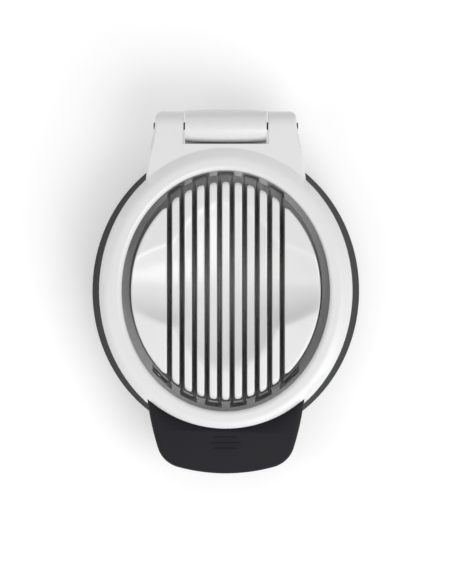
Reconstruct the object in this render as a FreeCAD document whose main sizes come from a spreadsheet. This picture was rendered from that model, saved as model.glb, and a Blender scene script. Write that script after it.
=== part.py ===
import FreeCAD, Part

# Hand egg slicer, closed.
#
# An egg lies on a slotted white tray.  A white ring frame, hinged at the back
# and pulled down by a dark grip at the front, carries one long steel wire laced
# to and fro, which passes through the egg and into the slots of the tray.
#
# Frame: +Z up, +Y towards the hinge, +X to the right when the grip is nearest
# to the user.  The origin is the middle of the oval plan, on the surface that
# the feet stand on.  All sizes are millimetres.

import math
import os
import re

import Sketcher

# ---------------------------------------------------------------- dimensions

DIMENSIONS = [
    # the oval plan, from the tray outwards
    ("tray_half_width", 37.9, "half of the egg tray, across"),
    ("tray_half_length", 43.6, "half of the egg tray, front to back"),
    ("side_gap", 3.7, "gap between tray and ring at the sides"),
    ("end_gap", 4.5, "gap between tray and ring at the two ends"),
    ("ring_width", 9.0, "width of the ring's white band"),
    ("skirt_side", 2.9, "how far the base spreads beyond the ring at the sides"),
    ("skirt_end", 1.8, "how far the base spreads beyond the ring at the ends"),
    # base
    ("foot_drop", 1.0, "height of the feet under the base"),
    ("foot_inset", 0.8, "depth of the recess that holds a foot"),
    ("foot_radius", 5.0, "radius of a foot"),
    ("foot_x", 33.0, "foot centre, across"),
    ("foot_y", 35.0, "foot centre, front to back"),
    ("foot_bevel", 0.4, "bevel round the foot's lower edge"),
    ("base_height", 15.0, "height of the base's rim"),
    ("base_wall", 2.2, "wall of the base"),
    ("base_floor", 2.0, "floor of the base"),
    ("rim_lip", 1.0, "rim left outside the tray's deck"),
    ("post_radius", 3.6, "post round a tray screw"),
    ("post_height", 8.0, "height of a post's top face"),
    ("post_x", 21.0, "tray screw, across"),
    ("post_y", 31.0, "tray screw, front to back"),
    # screws
    ("tray_screw_radius", 1.25, "shank of a tray screw"),
    ("tray_screw_head", 2.4, "head radius of a tray screw"),
    ("tray_screw_length", 10.5, "shank length of a tray screw"),
    ("carrier_screw_radius", 1.0, "shank of a carrier screw"),
    ("carrier_screw_head", 1.8, "head radius of a carrier screw"),
    ("carrier_screw_length", 9.0, "shank length of a carrier screw"),
    ("carrier_screw_angle", 45.0, "place of a carrier screw round the oval, degrees"),
    ("head_height", 1.4, "height of a screw head"),
    ("drive_width", 0.6, "width of a screw's cross recess"),
    ("drive_depth", 0.7, "depth of a screw's cross recess"),
    ("screw_clearance", 0.2, "clearance round a screw in the piece it holds"),
    # egg tray
    ("deck_thickness", 2.5, "deck that closes the base"),
    ("crest_height", 34.0, "top of the tray and of the ring"),
    ("arch_radius", 260.0, "arch of the tray's top, front to back"),
    ("cradle_shift", 2.4, "centre of the egg's hollow, towards the hinge"),
    ("cradle_half_width", 24.0, "hollow for an egg lying lengthwise, across"),
    ("cradle_half_length", 32.9, "hollow for an egg lying lengthwise, along"),
    ("cradle_depth", 13.5, "depth of the lengthwise hollow"),
    ("cross_half_width", 44.6, "hollow for an egg lying crosswise, across"),
    ("cross_half_length", 19.5, "hollow for an egg lying crosswise, along"),
    ("cross_depth", 12.5, "depth of the crosswise hollow"),
    ("core_depth", 6.0, "depth of the core under each side of the tray"),
    ("core_half_length", 17.0, "half length of the core under each side"),
    ("core_width", 8.0, "width of the core under each side"),
    # wires and slots
    ("wire_count", 10, "number of wire strands"),
    ("wire_pitch", 5.0, "distance between strands"),
    ("wire_radius", 0.4, "radius of the steel wire"),
    ("wire_bend", 0.9, "bend radius of the wire's corners"),
    ("wire_tail", 6.0, "wire beyond the outermost strands, across"),
    ("slot_width", 2.05, "width of a slot at the tray's top"),
    ("slot_draft", 0.7, "draft of a slot's sides, degrees"),
    ("slot_overrun", 2.0, "how far the slot cutter passes the tray's ends"),
    ("wire_land", 0.8, "carrier between its opening and the wire at the back"),
    ("pocket_side", 0.25, "gap beside a ferrule in its pocket"),
    ("pocket_under", 0.35, "gap under a ferrule in its pocket"),
    ("pocket_end", 0.9, "pocket beyond the strand at each end"),
    ("notch_width", 1.0, "width of a strand's notch"),
    ("ferrule_radius", 0.65, "radius of a crimped ferrule"),
    ("ferrule_length", 3.2, "length of a ferrule"),
    # wire carrier
    ("close_gap", 0.4, "gap between ring and base when closed"),
    ("carrier_recess", 0.6, "carrier's underside above the ring's lower edge"),
    ("carrier_thickness", 4.0, "thickness of the carrier"),
    ("carrier_clear", 0.7, "gap between carrier and tray"),
    ("carrier_swing", 2.6, "gap at the back, for the swing"),
    ("carrier_fit", 0.2, "gap between carrier and the ring's outer wall"),
    # top frame
    ("frame_wall", 2.2, "outer wall and roof of the ring"),
    ("bore_wall", 1.6, "inner wall of the ring"),
    ("crown_rise", 2.2, "rise of the ring's outer slope"),
    ("crown_run", 4.0, "run of the ring's outer slope"),
    ("bore_edge", 2.0, "rounding of the ring's inner edge"),
    ("crown_edge", 4.0, "rounding at the top of the slope"),
    ("boss_radius", 2.4, "boss round a carrier screw"),
    ("plate_half_width", 32.4, "half width of the hinge plate's hidden front edge"),
    ("plate_start", 38.0, "hinge plate's front edge, hidden in the ring"),
    ("plate_side_radius", 150.0, "curve of the hinge plate's sides"),
    ("ear_half_width", 28.3, "half width over the ears"),
    # hinge
    ("hinge_reach", 8.75, "pin axis behind the ring"),
    ("barrel_radius", 5.9, "radius of the ears' barrels"),
    ("ear_corner", 3.0, "rounding of the ears' outer corners, seen from above"),
    ("plate_edge", 1.1, "rounding of the upper rims of the plate's sides and the ears"),
    ("knuckle_half_width", 16.3, "half length of the tray's knuckle"),
    ("knuckle_gap", 0.6, "gap between knuckle and ear"),
    ("knuckle_radius", 6.2, "knuckle radius at its ends"),
    ("knuckle_crown", 0.55, "how much fatter the knuckle is in the middle"),
    ("cheek_edge", 0.5, "rounding of the ears beside the knuckle"),
    ("knuckle_room", 0.4, "gap between knuckle and the plate in front of it"),
    ("arm_bottom", 8.0, "underside of the arm that carries the knuckle"),
    ("arm_start", 46.0, "where the arm joins the deck"),
    ("arm_foot", 67.0, "back of the arm at its underside"),
    ("arm_clearance", 0.3, "gap round the arm in the base"),
    ("pin_radius", 1.5, "radius of the hinge pin"),
    ("pin_half_length", 28.9, "half length of the hinge pin"),
    ("pin_clearance", 0.05, "radial clearance of the pin in the knuckle"),
    ("pin_end", 0.6, "rounding of the pin's ends"),
    # handle grip
    ("grip_overlap", 2.1, "how far the grip covers the ring's slope"),
    ("grip_tip_x", 31.4, "grip's widest point, across"),
    ("grip_tip_y", 42.8, "grip's widest point, in front of the middle"),
    ("grip_corner_x", 25.2, "grip's front corner before it is rounded, across"),
    ("grip_corner_y", 68.45, "grip's front corner before it is rounded, forward"),
    ("grip_side_radius", 110.0, "curve of the grip's sides"),
    ("grip_corner_radius", 11.5, "curve of the grip's corners"),
    ("grip_front_radius", 72.0, "curve of the grip's front edge"),
    ("grip_back_top", 32.7, "height of the grip's top at the ring"),
    ("grip_front_top", 27.5, "height of the grip's top at the front"),
    ("grip_front_bottom", 22.0, "height of the grip's underside at the front"),
    ("grip_top_radius", 75.0, "curve of the grip's top"),
    ("grip_heel", 2.4, "flat underside of the grip before it rises"),
    ("grip_edge", 1.8, "rounding of the grip's upper edges"),
    ("grip_under_edge", 1.0, "rounding of the grip's lower edges"),
    ("tongue_half_width", 20.0, "half width of the tongue inside the grip"),
    ("tongue_reach", 9.0, "reach of the tongue inside the grip"),
    ("tongue_bottom", 22.6, "underside of the tongue"),
    ("tongue_thickness", 3.0, "thickness of the tongue"),
]

document = FreeCAD.newDocument("egg_slicer")
dims = document.addObject("Spreadsheet::Sheet", "dims")
for row, (alias, size, meaning) in enumerate(DIMENSIONS, start=1):
    dims.set(f"A{row}", meaning)
    dims.set(f"B{row}", str(size))
    dims.setAlias(f"B{row}", alias)
document.recompute()

NAMES = {alias for alias, size, meaning in DIMENSIONS}

# Sizes that follow from the driving ones, as formulas of their names.
RING_X = "(tray_half_width + side_gap + ring_width)"
RING_Y = "(tray_half_length + end_gap + ring_width)"
BORE_X = "(tray_half_width + side_gap)"
BORE_Y = "(tray_half_length + end_gap)"
SKIRT_RISE = "(base_height - foot_drop)"
DECK_BOTTOM = "(base_height - deck_thickness)"
DECK_X = f"({RING_X} - rim_lip)"
DECK_Y = f"({RING_Y} - rim_lip)"
RING_BOTTOM = "(base_height + close_gap)"
CARRIER_BOTTOM = f"({RING_BOTTOM} + carrier_recess)"
CARRIER_TOP = f"({CARRIER_BOTTOM} + carrier_thickness)"
WIRE_LEVEL = f"({CARRIER_BOTTOM} + carrier_thickness / 2)"
POCKET_HALF_WIDTH = "(ferrule_radius + pocket_side)"
POCKET_FLOOR = f"({WIRE_LEVEL} - ferrule_radius - pocket_under)"
PLATE_TOP = "(crest_height - crown_rise)"
HOLLOW_X = f"({RING_X} - frame_wall)"
HOLLOW_Y = f"({RING_Y} - grip_overlap - frame_wall)"
BORE_WALL_X = f"({BORE_X} + bore_wall)"
BORE_WALL_Y = f"({BORE_Y} + bore_wall)"
PIN_Y = f"({RING_Y} + hinge_reach)"
PIN_Z = f"({PLATE_TOP} - barrel_radius)"
CHEEK_X = "(knuckle_half_width + knuckle_gap)"
CUTOUT_Y = f"({PIN_Y} - knuckle_radius - knuckle_crown - knuckle_room)"
OPENING_X = "(tray_half_width + carrier_clear)"
OPENING_Y = "(tray_half_length + (carrier_clear + carrier_swing) / 2)"
OPENING_SHIFT = "((carrier_swing - carrier_clear) / 2)"
LACE_X = "(tray_half_width + side_gap / 2)"
LACE_BACK = "(tray_half_length + carrier_swing + wire_land)"
LACE_FRONT = "(tray_half_length + end_gap / 2)"
LACE_Y = f"(({LACE_BACK} + {LACE_FRONT}) / 2)"
LACE_SHIFT = f"(({LACE_BACK} - {LACE_FRONT}) / 2)"
OUTER_STRAND = "(wire_pitch * (wire_count - 1) / 2)"

LEFT_TURN = 1
RIGHT_TURN = -1


def value(text):
    """The number that a formula of dimension names gives."""
    return float(dims.evalExpression(text))


def bind(thing, prop, text):
    """Bind a property to a formula of dimension names."""
    def refer(word):
        return "<<dims>>." + word.group() if word.group() in NAMES else word.group()
    thing.setExpression(prop, re.sub(r"[a-z]\w*", refer, text))


# ------------------------------------------------------------ sketch helpers

def new_body(name):
    """An empty body whose label names its file."""
    body = document.addObject("PartDesign::Body", name)
    body.Label = name
    return body


def sketch_on(body, name, role, **offsets):
    """A sketch on one of the body's own planes, moved by formulas for x, y or z."""
    sketch = body.newObject("Sketcher::SketchObject", name)
    plane = next(item for item in body.Origin.OriginFeatures if item.Role == role)
    sketch.AttachmentSupport = [(plane, "")]
    sketch.MapMode = "FlatFace"
    for axis, text in offsets.items():
        bind(sketch, f"AttachmentOffset.Base.{axis}", text)
    return sketch


def fix(sketch, kind, size, *where):
    """Add a dimension to a sketch and bind it to a formula."""
    index = sketch.addConstraint(Sketcher.Constraint(kind, *where, value(size)))
    bind(sketch, f"Constraints[{index}]", size)


def ellipse(sketch, half_x, half_y, shift="0"):
    """An ellipse about a point on the sketch's vertical axis."""
    long_x = value(half_x) > value(half_y)
    centre = FreeCAD.Vector(0, value(shift), 0)
    across = centre + FreeCAD.Vector(value(half_x), 0, 0)
    along = centre + FreeCAD.Vector(0, value(half_y), 0)
    ends = (across, along) if long_x else (along, centre - FreeCAD.Vector(value(half_x), 0, 0))
    curve = sketch.addGeometry(Part.Ellipse(ends[0], ends[1], centre), False)
    sketch.exposeInternalGeometry(curve)
    major, minor = curve + 1, curve + 2
    sketch.addConstraint(Sketcher.Constraint("Horizontal" if long_x else "Vertical", major))
    sketch.addConstraint(Sketcher.Constraint("PointOnObject", curve, 3, -2))
    fix(sketch, "DistanceY", shift, -1, 1, curve, 3)
    fix(sketch, "Distance", f"2 * {half_x if long_x else half_y}", major)
    fix(sketch, "Distance", f"2 * {half_y if long_x else half_x}", minor)


def circle(sketch, x, y, radius):
    """A circle about a point."""
    centre = FreeCAD.Vector(value(x), value(y), 0)
    curve = sketch.addGeometry(Part.Circle(centre, FreeCAD.Vector(0, 0, 1), value(radius)), False)
    fix(sketch, "DistanceX", x, -1, 1, curve, 3)
    fix(sketch, "DistanceY", y, -1, 1, curve, 3)
    fix(sketch, "Radius", radius, curve)


def arc_between(start, end, radius, turn):
    """The shorter arc from start to end that turns left or right."""
    chord = end - start
    side = FreeCAD.Vector(-chord.y, chord.x, 0).normalize() * turn
    centre = (start + end) / 2 + side * math.sqrt(max(radius**2 - (chord.Length / 2) ** 2, 0.0))
    first, last = (start, end) if turn == LEFT_TURN else (end, start)
    angles = [math.atan2(point.y - centre.y, point.x - centre.x) for point in (first, last)]
    ring = Part.Circle(centre, FreeCAD.Vector(0, 0, 1), radius)
    return Part.ArcOfCircle(ring, angles[0], angles[1])


def outline(sketch, corners, arcs=None):
    """A closed outline through corners; arcs maps an edge's number to (radius, turn)."""
    arcs = arcs or {}
    points = [FreeCAD.Vector(value(x), value(y), 0) for x, y in corners]
    ends = []
    for number, start in enumerate(points):
        end = points[(number + 1) % len(points)]
        if number in arcs:
            radius, turn = arcs[number]
            edge = sketch.addGeometry(arc_between(start, end, value(radius), turn), False)
            ends.append((edge, 1, 2) if turn == LEFT_TURN else (edge, 2, 1))
        else:
            edge = sketch.addGeometry(Part.LineSegment(start, end), False)
            ends.append((edge, 1, 2))
    for number, (edge, first, last) in enumerate(ends):
        before = ends[number - 1]
        sketch.addConstraint(Sketcher.Constraint("Coincident", before[0], before[2], edge, first))
        fix(sketch, "DistanceX", corners[number][0], -1, 1, edge, first)
        fix(sketch, "DistanceY", corners[number][1], -1, 1, edge, first)
    for number, (radius, turn) in arcs.items():
        fix(sketch, "Radius", radius, ends[number][0])


def rectangle(sketch, low_x, high_x, low_y, high_y):
    """An upright rectangle."""
    outline(sketch, [(low_x, low_y), (high_x, low_y), (high_x, high_y), (low_x, high_y)])


# ----------------------------------------------------------- feature helpers

def extrude(body, kind, name, sketch, length, symmetric=False, backwards=False):
    """A pad or a pocket of a sketch."""
    feature = body.newObject("PartDesign::" + kind, name)
    feature.Profile = sketch
    bind(feature, "Length", length)
    feature.SideType = "Symmetric" if symmetric else "One side"
    feature.Reversed = backwards
    document.recompute()
    return feature


def loft(body, kind, name, first, last):
    """A straight-sided loft between two sketches."""
    feature = body.newObject("PartDesign::" + kind, name)
    feature.Profile = first
    feature.Sections = [last]
    feature.Ruled = True
    document.recompute()
    return feature


def round_edges(body, name, radius, wanted):
    """Round the edges of the body that the test picks out."""
    base = body.Tip
    names = [f"Edge{number}" for number, edge in enumerate(base.Shape.Edges, start=1) if wanted(edge)]
    if not names:
        raise ValueError(f"{body.Label}: no edges to round for {name}")
    feature = body.newObject("PartDesign::Fillet", name)
    feature.Base = (base, names)
    bind(feature, "Radius", radius)
    document.recompute()
    return feature


def level(edge, height, slack=0.01):
    """Whether an edge lies all at one height."""
    box = edge.BoundBox
    return abs(box.ZMin - height) < slack and abs(box.ZMax - height) < slack


def on_oval(edge, half_x, half_y, slack=0.05):
    """Whether the middle of an edge stands on an upright oval wall about the origin."""
    middle = edge.valueAt((edge.FirstParameter + edge.LastParameter) / 2)
    reach = math.hypot(middle.x / value(half_x), middle.y / value(half_y))
    return abs(reach - 1) * value(half_x) < slack


def four_places(x, y):
    """The four mirror images of a point, by name."""
    return {
        "front_left": (f"-{x}", f"-{y}"),
        "front_right": (x, f"-{y}"),
        "rear_left": (f"-{x}", y),
        "rear_right": (x, y),
    }


CARRIER_SCREW_PLACES = four_places(
    f"(({HOLLOW_X} + {BORE_WALL_X}) / 2 * cos(carrier_screw_angle))",
    f"(({HOLLOW_Y} + {BORE_WALL_Y}) / 2 * sin(carrier_screw_angle))",
)
TRAY_SCREW_PLACES = four_places("post_x", "post_y")
FOOT_PLACES = four_places("foot_x", "foot_y")


def holes(body, name, places, radius, z, depth, upwards=True, kind="Pocket"):
    """Round pockets or posts at four places, from a height upwards or downwards."""
    sketch = sketch_on(body, name + "_sketch", "XY_Plane", z=z)
    for x, y in places.values():
        circle(sketch, x, y, radius)
    backwards = upwards if kind == "Pocket" else not upwards
    return extrude(body, kind, name, sketch, depth, backwards=backwards)


# --------------------------------------------------------------------- base

def make_base_shell():
    """The dark base: an oval shell that spreads a little towards the bottom."""
    body = new_body("base_shell")
    foot = sketch_on(body, "skirt_foot", "XY_Plane", z="foot_drop")
    ellipse(foot, f"({RING_X} + skirt_side)", f"({RING_Y} + skirt_end)")
    rim = sketch_on(body, "skirt_rim", "XY_Plane", z="base_height")
    ellipse(rim, RING_X, RING_Y)
    loft(body, "AdditiveLoft", "skirt", foot, rim)
    # the inside keeps an even wall, so it starts a floor's thickness up the same slope
    left = f"(1 - base_floor / {SKIRT_RISE})"
    floor = sketch_on(body, "inside_floor", "XY_Plane", z="foot_drop + base_floor")
    ellipse(floor, f"({RING_X} + skirt_side * {left} - base_wall)",
            f"({RING_Y} + skirt_end * {left} - base_wall)")
    mouth = sketch_on(body, "inside_mouth", "XY_Plane", z="base_height")
    ellipse(mouth, f"({RING_X} - base_wall)", f"({RING_Y} - base_wall)")
    loft(body, "SubtractiveLoft", "inside", floor, mouth)
    seat = sketch_on(body, "deck_seat_sketch", "XY_Plane", z="base_height")
    ellipse(seat, DECK_X, DECK_Y)
    extrude(body, "Pocket", "deck_seat", seat, "deck_thickness")
    notch = sketch_on(body, "arm_notch_sketch", "XZ_Plane")
    side = "(knuckle_half_width + arm_clearance)"
    rectangle(notch, f"-{side}", side, "arm_bottom - arm_clearance", "base_height + rim_lip")
    extrude(body, "Pocket", "arm_notch", notch, PIN_Y)
    holes(body, "posts", TRAY_SCREW_PLACES, "post_radius", "foot_drop",
          "post_height - foot_drop", kind="Pad")
    holes(body, "screw_holes", TRAY_SCREW_PLACES, "tray_screw_radius + screw_clearance",
          "foot_drop", "post_height")
    holes(body, "head_recesses", TRAY_SCREW_PLACES, "tray_screw_head + screw_clearance",
          "foot_drop", "head_height + drive_depth")
    holes(body, "foot_recesses", FOOT_PLACES, "foot_radius", "foot_drop", "foot_inset")
    return body


def make_foot(corner, x, y):
    """A round non-slip foot, glued into its recess."""
    body = new_body("foot_" + corner)
    sketch = sketch_on(body, corner + "_disc_sketch", "XY_Plane")
    circle(sketch, x, y, "foot_radius")
    extrude(body, "Pad", corner + "_disc", sketch, "foot_drop + foot_inset")
    round_edges(body, corner + "_edge", "foot_bevel", lambda edge: level(edge, 0))
    return body


def make_screws(name, places, head_z, radius, head_radius, length):
    """Four pan-head screws with cross drives, driven upwards from under their seat."""
    blanks = []
    slots = []
    for corner, (x, y) in places.items():
        head = document.addObject("Part::Cylinder", f"{name}_{corner}_head")
        bind(head, "Radius", head_radius)
        bind(head, "Height", "head_height")
        shank = document.addObject("Part::Cylinder", f"{name}_{corner}_shank")
        bind(shank, "Radius", radius)
        bind(shank, "Height", f"head_height + {length}")
        for part in (head, shank):
            bind(part, "Placement.Base.x", x)
            bind(part, "Placement.Base.y", y)
            bind(part, "Placement.Base.z", head_z)
        blanks += [head, shank]
        for axis, sides in (("x", (head_radius, "drive_width")), ("y", ("drive_width", head_radius))):
            slots.append(make_drive_slot(f"{name}_{corner}_drive_{axis}", x, y, head_z, *sides))
    solid = document.addObject("Part::MultiFuse", name + "_blanks")
    solid.Shapes = blanks
    drives = document.addObject("Part::MultiFuse", name + "_drives")
    drives.Shapes = slots
    screws = document.addObject("Part::Cut", name)
    screws.Base = solid
    screws.Tool = drives
    screws.Label = name
    return screws


def make_drive_slot(name, x, y, bottom, length, width):
    """One slot of a cross drive, centred on the screw."""
    slot = document.addObject("Part::Box", name)
    bind(slot, "Length", length)
    bind(slot, "Width", width)
    bind(slot, "Height", "drive_depth")
    bind(slot, "Placement.Base.x", f"{x} - {length} / 2")
    bind(slot, "Placement.Base.y", f"{y} - {width} / 2")
    bind(slot, "Placement.Base.z", bottom)
    return slot


# ----------------------------------------------------------------- egg tray

def make_egg_tray():
    """The white tray: deck, slotted cradle, and the arm and knuckle of the hinge."""
    body = new_body("egg_tray")
    deck = sketch_on(body, "deck_sketch", "XY_Plane", z=DECK_BOTTOM)
    ellipse(deck, DECK_X, DECK_Y)
    extrude(body, "Pad", "deck", deck, "deck_thickness")
    block = sketch_on(body, "block_sketch", "XY_Plane", z=DECK_BOTTOM)
    ellipse(block, "tray_half_width", "tray_half_length")
    extrude(body, "Pad", "block", block, f"crest_height - {DECK_BOTTOM}")
    add_arch(body)
    add_hollow(body, "lengthwise", "YZ_Plane", "cradle_half_length", "cradle_half_width", "cradle_depth",
               "(cradle_half_length ^ 2 / (2 * arch_radius))", x="cradle_shift")
    add_hollow(body, "crosswise", "XZ_Plane", "cross_half_width", "cross_half_length", "cross_depth",
               "0", z="-cradle_shift")
    add_slots(body)
    add_cores(body)
    add_arm(body)
    holes(body, "bosses", TRAY_SCREW_PLACES, "post_radius", "post_height",
          "base_height - post_height", kind="Pad")
    holes(body, "pilots", TRAY_SCREW_PLACES, "tray_screw_radius", "post_height",
          "foot_drop + drive_depth + head_height + tray_screw_length - post_height")
    return body


def add_arch(body):
    """Arch the tray's top, so that it falls away a little towards both ends."""
    ceiling = "crest_height + crown_rise"
    reach = "(tray_half_length + end_gap)"
    fall = f"(arch_radius - sqrt(arch_radius ^ 2 - {reach} ^ 2))"
    arch = sketch_on(body, "arch_sketch", "YZ_Plane")
    outline(arch, [(f"-{reach}", f"crest_height - {fall}"), (f"-{reach}", ceiling),
                   (reach, ceiling), (reach, f"crest_height - {fall}")],
            {3: ("arch_radius", LEFT_TURN)})
    extrude(body, "Pocket", "arch", arch, "tray_half_width * 3", symmetric=True)


def add_hollow(body, name, role, half_length, half_width, depth, end_depth, **shift):
    """A hollow that is round about the egg's long axis, which lies above the tray."""
    axis_rise = f"(({half_width} ^ 2 - {depth} ^ 2) / (2 * {depth}))"
    sag = f"({depth} - {end_depth})"
    sweep = f"(({half_length} ^ 2 + {sag} ^ 2) / (2 * {sag}))"
    profile = sketch_on(body, name + "_sketch", role, y=f"crest_height + {axis_rise}", **shift)
    end = f"-({axis_rise} + {end_depth})"
    outline(profile, [(f"-{half_length}", end), (half_length, end),
                      (half_length, "0"), (f"-{half_length}", "0")],
            {0: (sweep, LEFT_TURN)})
    groove = body.newObject("PartDesign::Groove", name)
    groove.Profile = profile
    groove.ReferenceAxis = (profile, ["H_Axis"])
    groove.Angle = 360
    document.recompute()
    return groove


def add_slots(body):
    """One slot for each strand, a little narrower at its floor, cut from end to end."""
    top = "slot_width / 2"
    floor = "slot_width / 2 - (crest_height - base_height) * tan(slot_draft)"
    slot = sketch_on(body, "slot_sketch", "XZ_Plane")
    outline(slot, [(f"-{OUTER_STRAND} - ({floor})", "base_height"),
                   (f"-{OUTER_STRAND} + {floor}", "base_height"),
                   (f"-{OUTER_STRAND} + {top}", "crest_height"),
                   (f"-{OUTER_STRAND} - {top}", "crest_height")])
    first = extrude(body, "Pocket", "first_slot", slot,
                    "2 * (tray_half_length + slot_overrun)", symmetric=True)
    pattern = body.newObject("PartDesign::LinearPattern", "slots")
    pattern.Originals = [first]
    axis = next(item for item in body.Origin.OriginFeatures if item.Role == "X_Axis")
    pattern.Direction = (axis, [""])
    bind(pattern, "Length", f"2 * {OUTER_STRAND}")
    bind(pattern, "Occurrences", "wire_count")
    body.Tip = pattern
    document.recompute()


def add_cores(body):
    """Hollow the solid sides of the tray from underneath."""
    cores = sketch_on(body, "core_sketch", "XY_Plane", z=DECK_BOTTOM)
    inner = f"({OUTER_STRAND} + slot_width + base_wall / 2)"
    rectangle(cores, inner, f"{inner} + core_width", "-core_half_length", "core_half_length")
    rectangle(cores, f"-{inner} - core_width", f"-{inner}", "-core_half_length", "core_half_length")
    extrude(body, "Pocket", "cores", cores, "deck_thickness + core_depth", backwards=True)


def add_arm(body):
    """The arm that leaves the deck at the back, and the crowned knuckle on it."""
    side = sketch_on(body, "arm_sketch", "YZ_Plane")
    front = f"({PIN_Y} - knuckle_radius)"
    back = f"({PIN_Y} + knuckle_radius)"
    outline(side, [("arm_start", DECK_BOTTOM), ("arm_start", "base_height"), (front, "base_height"),
                   (front, PIN_Z), (back, PIN_Z), ("arm_foot", "arm_bottom"),
                   (f"({RING_Y} + skirt_end)", "arm_bottom")])
    extrude(body, "Pad", "arm", side, "2 * knuckle_half_width", symmetric=True)
    barrel = sketch_on(body, "knuckle_sketch", "XY_Plane", y=PIN_Y, z=PIN_Z)
    crown = "((knuckle_half_width ^ 2 + knuckle_crown ^ 2) / (2 * knuckle_crown))"
    outline(barrel, [("-knuckle_half_width", "0"), ("knuckle_half_width", "0"),
                     ("knuckle_half_width", "knuckle_radius"), ("0", "knuckle_radius + knuckle_crown"),
                     ("-knuckle_half_width", "knuckle_radius")],
            {2: (crown, LEFT_TURN), 3: (crown, LEFT_TURN)})
    knuckle = body.newObject("PartDesign::Revolution", "knuckle")
    knuckle.Profile = barrel
    knuckle.ReferenceAxis = (barrel, ["H_Axis"])
    knuckle.Angle = 360
    document.recompute()
    bore = sketch_on(body, "bore_sketch", "YZ_Plane")
    circle(bore, PIN_Y, PIN_Z, "pin_radius + pin_clearance")
    extrude(body, "Pocket", "bore", bore, "3 * knuckle_half_width", symmetric=True)


# ---------------------------------------------------------------- top frame

def make_top_frame(grip_space, tongue):
    """The white ring with its hinge plate and ears, hollow underneath."""
    body = new_body("frame_moulding")
    add_hinge_plate(body)
    wall = sketch_on(body, "wall_sketch", "XY_Plane", z=RING_BOTTOM)
    ellipse(wall, RING_X, RING_Y)
    extrude(body, "Pad", "wall", wall, f"{PLATE_TOP} - {RING_BOTTOM}")
    edge = sketch_on(body, "slope_foot", "XY_Plane", z=PLATE_TOP)
    ellipse(edge, RING_X, RING_Y)
    crest = sketch_on(body, "slope_top", "XY_Plane", z="crest_height")
    ellipse(crest, f"({RING_X} - crown_run)", f"({RING_Y} - crown_run)")
    loft(body, "AdditiveLoft", "slope", edge, crest)
    bore = sketch_on(body, "ring_bore_sketch", "XY_Plane", z=RING_BOTTOM)
    ellipse(bore, BORE_X, BORE_Y)
    extrude(body, "Pocket", "ring_bore", bore, f"crest_height + crown_rise - {RING_BOTTOM}", backwards=True)
    round_edges(body, "bore_rounding", "bore_edge",
                lambda edge: level(edge, value("crest_height")) and on_oval(edge, BORE_X, BORE_Y))
    round_edges(body, "crown_rounding", "crown_edge",
                lambda edge: level(edge, value("crest_height"))
                and on_oval(edge, f"{RING_X} - crown_run", f"{RING_Y} - crown_run"))
    seat = sketch_on(body, "carrier_seat_sketch", "XY_Plane", z=RING_BOTTOM)
    ellipse(seat, HOLLOW_X, HOLLOW_Y)
    extrude(body, "Pocket", "carrier_seat", seat, f"{CARRIER_TOP} - {RING_BOTTOM}", backwards=True)
    channel = sketch_on(body, "channel_sketch", "XY_Plane", z=CARRIER_TOP)
    ellipse(channel, HOLLOW_X, HOLLOW_Y)
    ellipse(channel, BORE_WALL_X, BORE_WALL_Y)
    extrude(body, "Pocket", "channel", channel, f"{PLATE_TOP} - frame_wall - {CARRIER_TOP}", backwards=True)
    holes(body, "frame_bosses", CARRIER_SCREW_PLACES, "boss_radius", CARRIER_TOP,
          f"{PLATE_TOP} - frame_wall / 2 - {CARRIER_TOP}", kind="Pad")
    holes(body, "frame_pilots", CARRIER_SCREW_PLACES, "carrier_screw_radius", CARRIER_TOP,
          f"{CARRIER_BOTTOM} + head_height + carrier_screw_length - {CARRIER_TOP}")
    clipped = document.addObject("Part::Cut", "frame_clear_of_grip")
    clipped.Base = body
    clipped.Tool = grip_space
    frame = document.addObject("Part::Fuse", "top_frame")
    frame.Base = clipped
    frame.Tool = tongue
    frame.Label = "top_frame"
    return frame


def add_hinge_plate(body):
    """The flat plate behind the ring, cut out for the knuckle, with a barrel on each ear."""
    tail = f"({PIN_Y} + barrel_radius)"
    plate = sketch_on(body, "plate_sketch", "XY_Plane", z=f"{PLATE_TOP} - 2 * barrel_radius")
    outline(plate, [("-plate_half_width", "plate_start"), ("plate_half_width", "plate_start"),
                    ("ear_half_width", PIN_Y), ("ear_half_width", tail), (CHEEK_X, tail),
                    (CHEEK_X, CUTOUT_Y), (f"-{CHEEK_X}", CUTOUT_Y), (f"-{CHEEK_X}", tail),
                    ("-ear_half_width", tail), ("-ear_half_width", PIN_Y)],
            {1: ("plate_side_radius", LEFT_TURN), 9: ("plate_side_radius", LEFT_TURN)})
    extrude(body, "Pad", "plate", plate, "2 * barrel_radius")
    round_edges(body, "ear_corners", "ear_corner", is_ear_corner)
    trim = sketch_on(body, "barrel_sketch", "YZ_Plane")
    past = f"({tail} + barrel_radius)"
    outline(trim, [(PIN_Y, PLATE_TOP), (tail, PIN_Z), (PIN_Y, f"{PIN_Z} - barrel_radius"),
                   (PIN_Y, f"{PIN_Z} - 2 * barrel_radius"), (past, f"{PIN_Z} - 2 * barrel_radius"),
                   (past, f"{PLATE_TOP} + barrel_radius"), (PIN_Y, f"{PLATE_TOP} + barrel_radius")],
            {0: ("barrel_radius", RIGHT_TURN), 1: ("barrel_radius", RIGHT_TURN)})
    extrude(body, "Pocket", "barrels", trim, "4 * ear_half_width", symmetric=True)
    pin = sketch_on(body, "ear_bore_sketch", "YZ_Plane")
    circle(pin, PIN_Y, PIN_Z, "pin_radius")
    extrude(body, "Pocket", "ear_bore", pin, "4 * ear_half_width", symmetric=True)
    round_edges(body, "plate_rims", "plate_edge", is_plate_rim)
    round_edges(body, "ear_cheeks", "cheek_edge", is_cheek_rim)


def is_ear_corner(edge):
    """Whether an edge is the upright outer corner of an ear."""
    middle = edge.CenterOfMass
    upright = edge.BoundBox.ZLength > 0.9 * edge.Length
    return upright and abs(middle.x) > value("ear_half_width") - 0.01 and middle.y > value(PIN_Y) + 1


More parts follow.
